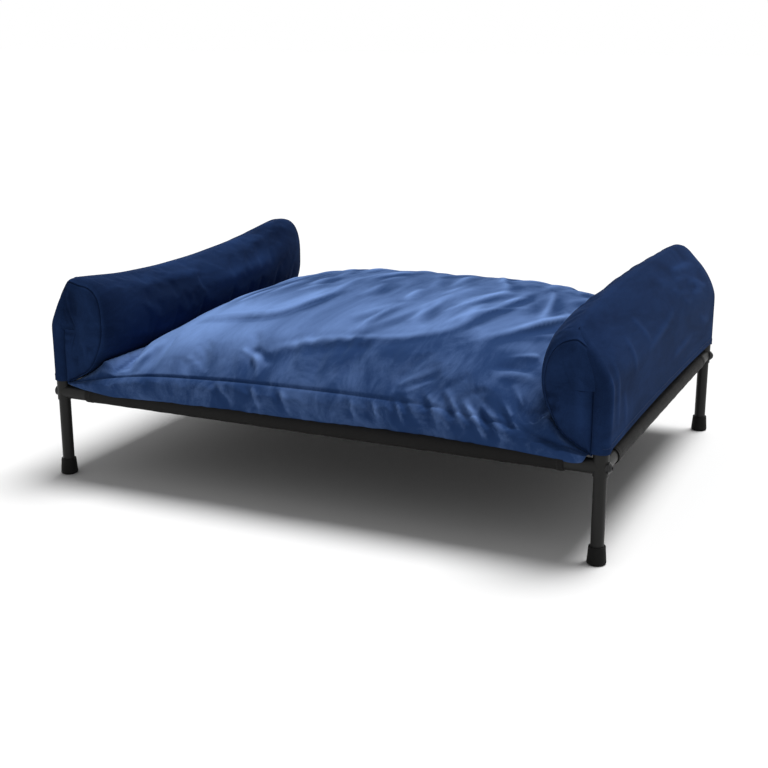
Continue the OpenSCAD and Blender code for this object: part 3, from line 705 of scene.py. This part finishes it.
# The pocket's cloth and hem, how the hem lifts in the middle and drops at the ends, and its tucked top edge
pocket_thick, pocket_hem, hem_lift, hem_drop, top_tuck = 0.0010, 0.0006, 0.006, 0.005, 0.0016
around, ups, wrap_radius, hem_share, sewn_row = 132, 64, 0.0124, 0.052, 3
close_set = bolster_end - round_end * np.cos(np.linspace(0, math.pi / 2, 9)[1:])
straight = bolster_end - round_end - 0.002
places = np.r_[-close_set[::-1], np.linspace(-straight, straight, 125), close_set]
for side, sign in (("right", 1), ("left", -1)):
    shape, mirror = bolster_shape[side], np.array([sign, 1, 1])
    body = []
    for y in places:
        loop = bolster_loop(shape, y, around)
        body.append(np.stack([loop[:, 0], np.full(around, y), loop[:, 1]], axis=1))
    body = shoulder(np.array(body))
    ends = []
    for ring, edge in ((body[0], -1), (body[-1], 1)):
        middle = panel_middle + np.array([0, edge * bolster_end, 0])
        cap = []
        for scale, out in panel_rings:
            layer = middle + (ring - middle) * np.array([scale, 1, scale])
            layer[:, 1] = edge * (bolster_end + out)
            cap.append(layer)
        ends.append(np.array(cap))
    grid = np.concatenate([ends[0][::-1], body, ends[1]])
    bolster = tube_mesh(f"{side}_bolster", grid * mirror)
    blank_grid = grid[::2, ::2]
    blank = tube_mesh(f"{side}_bolster_blank", blank_grid * mirror)
    rings = np.arange(len(blank_grid))
    sewn = np.isin(rings, (4, len(rings) - 5))[:, None]
    sewn = sewn | (blank_grid[:, :, 0] > held_x) | (blank_grid[:, :, 2] < held_z)
    shift = plump(blank, sewn.ravel(), pressure=2.2, growth=shape["loose"], bend=0.5, cap=0.005)
    bpy.data.objects.remove(blank)
    shift = refine(shift.reshape(blank_grid.shape), closed=True)
    set_coords(bolster, coords(bolster)[0] + shift.reshape(-1, 3))
    at, facing = coords(bolster)
    rise = np.zeros(len(at))
    for path, height, width in bolster_creases[side]:
        rise += fold(at, np.array(path) / 1000, crease_gain * height / 1000, width / 1000)
    set_coords(bolster, at + facing * rise[:, None])
    subdivide(bolster)
    bolster.data.materials.append(bolster_velvet)
    # Painted shade on the side that faces the cushion, and painted light on the end panels
    painted_light = plain_level + inner_shade * np.clip(-sign * facing[:, 0], 0, 1) + end_light * np.abs(facing[:, 1]) ** 4
    ring = np.repeat(np.arange(len(grid)), around)
    from_end = np.minimum(ring, len(grid) - 1 - ring)
    # The end seam's groove is painted dark as shade, and the rings at its lips get a painted highlight
    painted_light = np.where(from_end == groove_ring, 0.0, painted_light + lip_highlight * np.isin(from_end, lip_rings))
    # Crease ridges get painted light and their furrows painted shade
    add_attribute(bolster, "painted_light", painted_light + np.clip(rise * 60, -0.1, 0.12))
    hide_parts(f"{side}_bolster_cover", f"{side}_bolster_fill")
    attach(bolster, f"{side}_bolster")

    # Outer cloth: one panel from behind one upright, round it, along the outside and round the other,
    # from the hem under the hoop up to the ridge
    lines = np.array([outer_profile(shape, y, ups) for y in places])
    height_share = np.linspace(0, 1, ups)
    drawn = ramp(height_share, 0.5, 0.5) ** 1.3
    corner = wrap_radius - 0.003 * drawn - 0.004 * drawn**4
    middle_y = leg_y - 0.003 * drawn - 0.010 * drawn**4
    wrap = np.linspace(0, math.pi / 2, 13)[1:]
    tuck = np.array([(0.004, 0.0), (0.008, -0.0006), (0.011, -0.0022), (0.013, -0.0045)])
    rows = []
    for k in range(ups):
        r, along = corner[k], np.linspace(-middle_y[k], middle_y[k], 121)
        face_x, face_z = [np.interp(along, places, lines[:, k, c]) for c in range(2)]
        face = np.stack([face_x, along, face_z], axis=1)
        turned = np.stack([r - r * np.cos(wrap), r * np.sin(wrap)], axis=1)
        turned = np.concatenate([turned, turned[-1] + tuck * np.array([1 - 0.9 * drawn[k], 1.5])])
        turned = np.stack([-turned[:, 0], turned[:, 1], np.zeros(len(turned))], axis=1)
        rear, front = face[-1] + turned, face[0] + turned * np.array([1, -1, 1])
        rows.append(np.concatenate([front[::-1], face, rear]))
    cloth = shoulder(np.array(rows).transpose(1, 0, 2))
    lift = hem_lift * np.clip(1 - (cloth[:, :, 1] / 0.33) ** 2, 0, 1)
    lift = lift - hem_drop * ramp(np.abs(cloth[:, :, 1]), 0.332, 0.012)
    cloth[:, :, 2] += lift * np.clip(1 - height_share / 0.35, 0, 1)[None, :]
    facing = np.cross(np.gradient(cloth, axis=0), np.gradient(cloth, axis=1))
    facing = facing / np.linalg.norm(facing, axis=2)[:, :, None]
    tuck_in = top_tuck * ramp(height_share, 0.96, 0.04)
    flat_cloth, middle_line = cloth.reshape(-1, 3), lines[len(lines) // 2]
    rise = np.zeros(len(flat_cloth))
    for path, height, width in pocket_streaks:
        rise += fold(flat_cloth, np.array(path) / 1000, height / 1000, width / 1000)
    for _ in range(18):
        start, high = chance.uniform(0.02, 0.24), chance.uniform(0.285, 0.335)
        run = chance.uniform(0.05, 0.11)
        deep_x = float(np.interp(high, middle_line[:, 1], middle_line[:, 0]))
        half_way = (deep_x, start + run / 2, high - chance.uniform(0.002, 0.009))
        path = [(deep_x, start, high), half_way, (deep_x, start + run, high - 0.012)]
        rise += fold(flat_cloth, path, chance.uniform(0.6, 1.3) / 1000, chance.uniform(0.004, 0.006))
    rise = rise.reshape(cloth.shape[:2])
    cloth = cloth + facing * (rise - tuck_in[None, :])[:, :, None]
    hem = pocket_hem * (height_share < hem_share)
    outside = (cloth + facing * (0.0001 + hem)[None, :, None]) * mirror
    pocket = shell(f"{side}_hoop_pocket", outside, (cloth - facing * pocket_thick) * mirror)
    pocket.data.materials.append(bolster_velvet)
    # Painted sheen along the streaks and small folds of the pocket
    add_attribute(pocket, "painted_light", np.tile(pocket_level + np.clip(rise * 110, -0.08, 0.2).ravel(), 2))
    sewn_line, sewn_out = cloth[6:-6, sewn_row], facing[6:-6, sewn_row]
    sewn_line = sewn_line + sewn_out * (0.0001 + pocket_hem)
    row = thread_row(f"{side}_pocket_stitches", sewn_line * mirror, sewn_out * mirror,
                     pitch=0.0042, stitch=0.0033, thick=0.0007)
    row.data.materials.append(blue_thread)
    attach(row, f"{side}_bolster")
    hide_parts(f"{side}_pocket_panel", f"{side}_pocket_gusset")
    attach(pocket, f"{side}_bolster")
    span, tall = float(path_length(cloth[:, 2])[-1]), float(path_length(cloth[len(cloth) // 2])[-1])


# Cushion
# A loose velvet pillow cut from two panels and sewn round a plain seam, soft enough to crown in the
# middle and thin out to its corners; it lies on the sling with its ends tucked under the bolsters.
def pillow_mesh(name, top, low):
    """A closed pillow of two grids of points that share their edge, the seam."""
    n, m = top.shape[:2]
    top_index = np.arange(n * m).reshape(n, m)
    low_index = top_index.copy()
    low_index[1:-1, 1:-1] = n * m + np.arange((n - 2) * (m - 2)).reshape(n - 2, m - 2)
    faces = []
    for index, flip in ((top_index, 1), (low_index, -1)):
        square = np.stack([index[:-1, :-1], index[1:, :-1], index[1:, 1:], index[:-1, 1:]], axis=2)
        faces += square.reshape(-1, 4)[:, ::flip].tolist()
    return soft_piece(name, np.concatenate([top.reshape(-1, 3), low[1:-1, 1:-1].reshape(-1, 3)]), faces)


def bunched(count, share):
    """Places from -1 to 1 that stand closer together towards both ends."""
    even = np.linspace(-1, 1, count)
    return np.sin(even * math.pi / 2) * share + even * (1 - share)


def ease(share):
    """A share from 0 to 1 that starts and ends gently."""
    return share**2 * (3 - 2 * share)


# The bolster's underside rises by belly_rise over its depth; between the bolsters the cushion is free
belly_rise, clearance, free_z = 0.095, 0.0012, 1.0


def ceiling(x):
    """How high the cushion may reach at places across the cot, just short of the bolster over it."""
    inward = ramp(back_x - np.abs(x), 0, depth)
    belly = np.where(inward < 1, hem_z + belly_rise * (1 - np.sqrt(1 - inward**2)), free_z)
    return belly - droop_deep * ramp(np.abs(x), droop_x, droop_wide) - clearance


# Its light colour stands for the pale sheen on the top and the folds, painted in by the painted light and
# shade on the mesh
cushion_velvet = velvet("cushion_velvet", (0.02, 0.05, 0.15), (0.20, 0.335, 0.69), 0.24,
                        0.2, 0.45, (0.35, 0.6, 1.0))

# Half its length and width, how far its sides bow in and its corners flare, and its heights
half_x, side_bow, corner_flare, half_y, front_bow = 0.430, 0.020, 0.008, 0.3465, 0.006
base_z, crown_rise, tuck_top, back_seam_z, back_seam_rise = 0.1549, 0.0925, 0.1978, 0.1584, 0.036
front_seam = [(-1.0, 0.1585), (-0.93, 0.164), (-0.80, 0.177), (-0.62, 0.188), (-0.27, 0.1955), (0.10, 0.198),
              (0.45, 0.1965), (0.67, 0.187), (0.85, 0.172), (0.95, 0.1605), (1.0, 0.158)]
u, v = np.meshgrid(bunched(241, 0.3), bunched(201, 0.6), indexing="ij")
seam_front = smooth_line(front_seam, u)
seam_back = back_seam_z + back_seam_rise * (1 - u**4)
seam_z = seam_front + (seam_back - seam_front) * (v + 1) / 2
x = u * (half_x - side_bow * (1 - v**4) + corner_flare * np.abs(v) ** 10)
y = v * (half_y - front_bow * (1 - u**2))
power = np.where(u > 0, 6.0, 3.0)
steep = 0.75 - 0.11 * ramp(u, 0, 0.5) * (v < 0)
swell = (1 - np.abs(u) ** power) * (1 - np.abs(v) ** 2.5) ** steep
upper = seam_z + crown_rise * swell
tucked = ease(ramp(np.abs(x), 0.335, 0.035)) * ramp(1 - np.abs(v), 0, 0.035) ** 0.5
full = seam_z + (np.minimum(ceiling(x), tuck_top) - seam_z) * tucked
upper = np.minimum(np.maximum(upper, full), ceiling(x))
seam_z = np.minimum(seam_z, upper)

# The lower panel comes round from the base and bulges out below the seam; in front it rolls over the rail
turn_from, last_turn, roll_out, roll_trim, roll_down = 0.90, math.radians(118), 0.0105, 0.0045, 0.018
turn_wide = 1 - turn_from
roll_u = 1 - np.sqrt(1 - ramp(np.abs(u), 0.93, 0.07) ** 2)
swing = ramp(np.abs(v), turn_from, turn_wide) * last_turn
rise_v = (1 - np.cos(swing)) / (1 - math.cos(last_turn))
far_y = np.abs(y) / np.maximum(1e-6, np.abs(v))
bulge_y = far_y * (turn_from + turn_wide * np.sin(swing) / math.sin(last_turn))
low_y = np.where(np.abs(v) > turn_from, np.sign(v) * bulge_y, y)
lower = base_z + (seam_z - base_z) * np.maximum(roll_u, rise_v)
over = ramp(-v, turn_from, turn_wide)
fade = np.where(u < 0, ramp(1 + u, 0, 0.20) ** 0.6, ramp(1 - u, 0, 0.045) ** 0.2)
low_y -= (roll_out - roll_trim * ramp(u, 0, 0.3)) * fade * np.sin(np.pi * over) ** 0.8
lower -= roll_down * fade * np.sin(np.pi * np.clip(over * 1.5, 0, 1))
edge = np.zeros_like(u, bool)
edge[[0, -1], :] = edge[:, [0, -1]] = True
lower[edge], low_y[edge] = upper[edge], y[edge]
top_points, low_points = np.stack([x, y, upper], axis=2), np.stack([x, low_y, lower], axis=2)
cushion = pillow_mesh("velvet_cushion", top_points, low_points)
on_top = np.arange(len(cushion.data.vertices)) < edge.size
on_seam = np.r_[edge.ravel(), np.zeros((~on_top).sum(), bool)]
blank_top = top_points[::2, ::2]
blank = pillow_mesh("cushion_blank", blank_top, low_points[::2, ::2])
at, _ = coords(blank)
upper_half = np.arange(len(at)) < blank_top[:, :, 0].size
sewn = np.r_[edge[::2, ::2].ravel(), np.zeros((~upper_half).sum(), bool)]
resting, far_under = ~upper_half & (at[:, 2] < base_z + 0.0008), np.abs(at[:, 0]) > 0.392
held = sewn | resting | far_under
shift = plump(blank, held, pressure=2.4, growth=0.035, bend=0.15, cap=0.010)
bpy.data.objects.remove(blank)
top_shift = shift[upper_half].reshape(blank_top.shape)
low_shift = np.zeros_like(top_shift)
low_shift[1:-1, 1:-1] = shift[~upper_half].reshape(low_shift[1:-1, 1:-1].shape)
calm = ramp(1 - np.abs(v), 0, 0.09)[:, :, None]
top_shift, low_shift = refine(top_shift) * calm, (refine(low_shift) * calm**0.5)[1:-1, 1:-1]
shift = np.concatenate([top_shift.reshape(-1, 3), low_shift.reshape(-1, 3)])
set_coords(cushion, coords(cushion)[0] + shift)

# Folds where the loose cover gathers, each a ridge or a furrow along a line over the cushion, in millimetres
long_folds = [
    ([(-97, -303, 232), (-45, -275, 247), (23, -258, 255), (110, -249, 259), (150, -226, 265),
      (177, -205, 271), (197, -140, 283), (215, -56, 289), (221, 53, 288)], 4.2, 9),
    ([(-298, -193, 246), (-210, -210, 264), (-128, -206, 271), (-103, -168, 281), (-77, -113, 289),
      (-79, -45, 293), (-83, 21, 294)], 3.8, 9),
    ([(17, -246, 259), (55, -219, 269), (92, -169, 281), (112, -96, 291), (125, 1, 293)], 3.0, 8),
    ([(4, -203, 273), (37, -162, 282), (57, -129, 287)], 2.2, 8),
    ([(104, -271, 249), (159, -249, 257), (196, -221, 266), (217, -184, 274)], 2.6, 8),
    ([(197, -244, 257), (249, -193, 268), (284, -110, 274), (313, 33, 267)], 3.4, 9),
    ([(267, -155, 272), (287, -95, 274), (299, -33, 272)], 2.2, 7),
    ([(263, -264, 243), (289, -239, 248), (316, -204, 249)], 4.0, 7),
    ([(263, -279, 237), (293, -262, 239), (323, -243, 236)], -5.0, 8),
    ([(142, -326, 215), (176, -306, 229), (204, -290, 237)], 2.4, 6),
    ([(153, -335, 207), (188, -317, 221), (216, -302, 230)], 2.2, 5),
    ([(-134, -297, 235), (-108, -308, 229), (-93, -322, 218), (-87, -339, 203)], 3.6, 6),
    ([(-120, -290, 236), (-94, -302, 231), (-78, -318, 221)], -2.4, 7),
    ([(-223, -315, 218), (-197, -328, 211), (-175, -340, 201)], 2.0, 5),
    ([(-338, -339, 185), (-323, -303, 207), (-302, -262, 228)], 3.0, 9),
]
puckers = [
    [(-157, -350, 197), (-138, -352, 179), (-122, -352, 158)],
    [(-95, -350, 198), (-82, -352, 179), (-72, -352, 158)],
    [(-47, -350, 198), (-33, -352, 182), (-22, -352, 158)],
    [(75, -350, 198), (81, -352, 181), (89, -352, 158)],
    [(110, -350, 196), (117, -352, 182), (126, -352, 162)],
    [(144, -340, 201), (156, -351, 184), (163, -352, 162)],
    [(186, -328, 212), (206, -348, 193), (218, -352, 162)],
    [(214, -322, 216), (238, -343, 195), (258, -352, 162)],
    [(244, -332, 205), (269, -348, 187), (288, -352, 160)],
    [(271, -332, 204), (299, -348, 185), (317, -352, 158)],
    [(290, -311, 215), (321, -339, 190), (348, -350, 158)],
    [(302, -287, 225), (344, -328, 193), (375, -350, 158)],
    [(330, -299, 213), (363, -330, 186), (392, -350, 160)],
    [(347, -312, 201), (379, -337, 177), (412, -348, 157)],
]
# Beside each long fold lie a furrow, a flank with a painted highlight and one with painted shade; beside
# each pucker a furrow
fold_furrow, pucker_furrow = np.array([0.008, -0.017, -0.004]), np.array([-0.009, 0, 0])
painted_lit_flank, painted_shaded_flank = np.array([-0.010, 0.022, 0.004]), np.array([0.010, -0.030, -0.007])
flank_wide, pucker_heights = 0.018, (0.0026, 0.0038, 0.0031)
now, plain = coords(cushion)
rise, shine = np.zeros(len(now)), np.zeros(len(now))
for path, height, width in long_folds:
    path, width = np.array(path) / 1000, width / 1000
    rise += fold(now, path, 1.3 * height / 1000, 0.85 * width)
    rise += fold(now, path + fold_furrow, -0.9 * height / 1000, 1.3 * width)
    # Painted highlight along each fold's crest, and painted highlight and shade on its flanks
    shine += fold(now, path, 0.13 * height, 0.36 * width)
    shine += fold(now, path + painted_lit_flank, 0.05 * height, flank_wide)
    shine -= fold(now, path + painted_shaded_flank, 0.05 * height, flank_wide)
for k, path in enumerate(puckers):
    path, height = np.array(path) / 1000, pucker_heights[k % 3]
    rise += fold(now, path, height, 0.005)
    rise += fold(now, path + pucker_furrow, -1.3 * height, 0.006)
    # Painted highlight along each pucker's crest
    shine += fold(now, path, 130 * height, 0.003)

# Small seeded folds: over the top as seen from above, then along the front seam and the back one
chance = np.random.default_rng(11)
flat = now * (1, 1, 0)
for _ in range(90):
    start_x, start_y = chance.uniform(-0.35, 0.31), chance.uniform(-0.24, 0.20)
    heading, bow = chance.uniform(1.15, 1.75), chance.uniform(-0.5, 0.5)
    steps = np.linspace(0, chance.uniform(0.07, 0.20), 6)
    aim = heading + bow * steps * 5
    path = np.stack([start_x + steps * np.cos(aim), start_y + steps * np.sin(aim), np.zeros(6)], axis=1)
    wide, tall = chance.uniform(0.006, 0.012), chance.uniform(0.7, 2.2)
    rise += fold(flat, path, tall / 1000, wide) * on_top
    # Painted highlight along the crest of each small fold
    shine += fold(flat, path, 0.17 * tall, 0.5 * wide) * on_top
    rise -= fold(flat, path + (2.2 * wide, 0, 0), chance.uniform(0.5, 1.7) / 1000, 1.4 * wide) * on_top
for _ in range(26):
    start = chance.uniform(0.13, 0.36)
    high = 0.206 - 0.10 * max(0, start - 0.2)
    path = [(start, -0.335, high), (start + 0.022, -0.349, 0.184), (start + 0.040, -0.353, 0.160)]
    tall, wide = chance.uniform(-3.0, 2.8), chance.uniform(0.0035, 0.006)
    rise += fold(now, path, tall / 1000, wide)
    # Painted highlight along the crest of each fold by the front seam
    shine += fold(now, path, 0.12 * tall, 0.6 * wide)
for _ in range(40):
    start, tilt = chance.uniform(-0.37, 0.37), chance.uniform(-0.02, 0.02)
    path = [(start, 0.330, 0.203), (start + tilt, 0.349, 0.182), (start + 2 * tilt, 0.349, 0.160)]
    rise += fold(now, path, chance.uniform(-2.6, 2.4) / 1000, chance.uniform(0.004, 0.007))

# The seam is drawn in, less at the front right; under the bolsters the cushion stays full but clear
seam_draw, seam_ease = 0.0020, 0.0014
plainer = ramp(now[:, 0], 0.02, 0.16) * (now[:, 1] < 0)
rise = rise * np.where(on_seam, 0.3 + 0.5 * plainer, 1) - (seam_draw - seam_ease * plainer) * on_seam
pairs = np.zeros(len(cushion.data.edges) * 2, int)
cushion.data.edges.foreach_get("vertices", pairs)
sewn = on_seam[pairs.reshape(-1, 2)].all(1)
crease = cushion.data.attributes.new("crease_edge", "FLOAT", "EDGE")
crease.data.foreach_set("value", sewn.astype(np.float32))
now = now + plain * rise[:, None]
least = np.r_[np.where(tucked > 0.4, full, 0).ravel(), np.zeros((~on_top).sum())]
now[:, 2] = np.minimum(np.maximum(now[:, 2], least), ceiling(now[:, 0]))
now[:, 2] = np.where(on_top | (now[:, 1] < -0.30), now[:, 2], np.maximum(now[:, 2], base_z))
set_coords(cushion, now)
subdivide(cushion)
cushion.data.materials.append(cushion_velvet)

# Painted light and shade on the pile: lighter over the top and along the folds, darker on the flanks and in
# the furrows, a little darker towards the back, with painted highlight spots at the front and painted shade
# by the right bolster
least_light, top_light, back_shade = 0.05, 0.335, 0.46
painted_light_spots = [(-0.25, -0.22, 0.13, 0.74), (0.02, -0.20, 0.12, 0.12), (0.30, -0.22, 0.07, -0.16),
                 (0.33, -0.05, 0.08, -0.15)]
_, facing = coords(cushion)
crest = np.interp(now[:, 0], (-0.40, -0.25, -0.10, 0.05, 0.20), (1.06, 1.02, 0.94, 0.85, 0.77))
crest = np.where(now[:, 1] > 0, 0.80, crest)
level = ease(ramp(crest - np.abs(now[:, 1]) / half_y, 0, 0.20) * on_top)
level = least_light + top_light * level * (1 - back_shade * ramp(now[:, 1], -0.17, 0.18))
lighter = (np.clip(rise * 210, -0.42, 0.60) + np.clip(shine, -0.25, 0.55)) * (0.38 + level / 0.75)
# Painted shading from how far the folds tilt the top up or down
lighter += np.clip((facing[:, 2] - plain[:, 2]) * 1.2, -0.2, 0.2) * on_top
for spot_x, spot_y, reach, gain in painted_light_spots:
    off = (now[:, 0] - spot_x) ** 2 + 1.6 * (now[:, 1] - spot_y) ** 2
    lighter += gain * np.exp(-off / reach**2) * on_top
# The seam line is painted dark as shade, except at the front right
add_attribute(cushion, "painted_light", np.clip(level + lighter, 0, 1) * np.where(on_seam, plainer, 1))
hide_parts("cushion_cover", "cushion_fill")
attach(cushion, "cushion")


# Floor and light
# A plain white floor and background, one broad soft lamp from above, and a pale world all round;
# floor and world are whiter to the eye and in reflections than in the light they throw back.
def seen_rays(tree):
    """1 for a ray from the eye, also by way of a glossy or a clear surface, and 0 for scattered light."""
    rays = tree.nodes.new("ShaderNodeLightPath").outputs
    seen = maths(tree, "MAXIMUM", rays["Is Camera Ray"], rays["Is Glossy Ray"])
    return maths(tree, "MAXIMUM", seen, rays["Is Transmission Ray"])


floor_mesh = bpy.data.meshes.new("floor")
floor_mesh.from_pydata([(-30, -30, 0), (30, -30, 0), (30, 30, 0), (-30, 30, 0)], [], [[0, 1, 2, 3]])
floor = show("floor", floor_mesh)
floor_paint, floor_tree, floor_shader = new_finish(
    "white_floor", {"Roughness": 0.9, "Specular IOR Level": 0.0})
floor_tone = blend(floor_tree, seen_rays(floor_tree), (0.8, 0.8, 0.8, 1), (1.0, 1.0, 1.0, 1))
feed(floor_tree, floor_shader.inputs["Base Color"], floor_tone)
floor.data.materials.append(floor_paint)

lamp = show("overhead", bpy.data.lights.new("overhead", "SUN"))
lamp.data.energy, lamp.data.angle = 2.7, math.radians(30)
lamp.rotation_euler = (math.radians(-15), math.radians(9), 0)

world = bpy.context.scene.world or bpy.data.worlds.new("studio")
bpy.context.scene.world = world
world.use_nodes = True
sky = world.node_tree
sky.nodes.clear()
sky_dim, sky_white = [
    node(sky, "ShaderNodeBackground", {}, {"Color": (1, 1, 1, 1), "Strength": strength}).outputs[0]
    for strength in (0.26, 1.0)]
sky_mix = node(sky, "ShaderNodeMixShader", {}, {0: seen_rays(sky), 1: sky_dim, 2: sky_white}).outputs[0]
node(sky, "ShaderNodeOutputWorld", {}, {"Surface": sky_mix})

bpy.context.scene.view_settings.view_transform = "Standard"
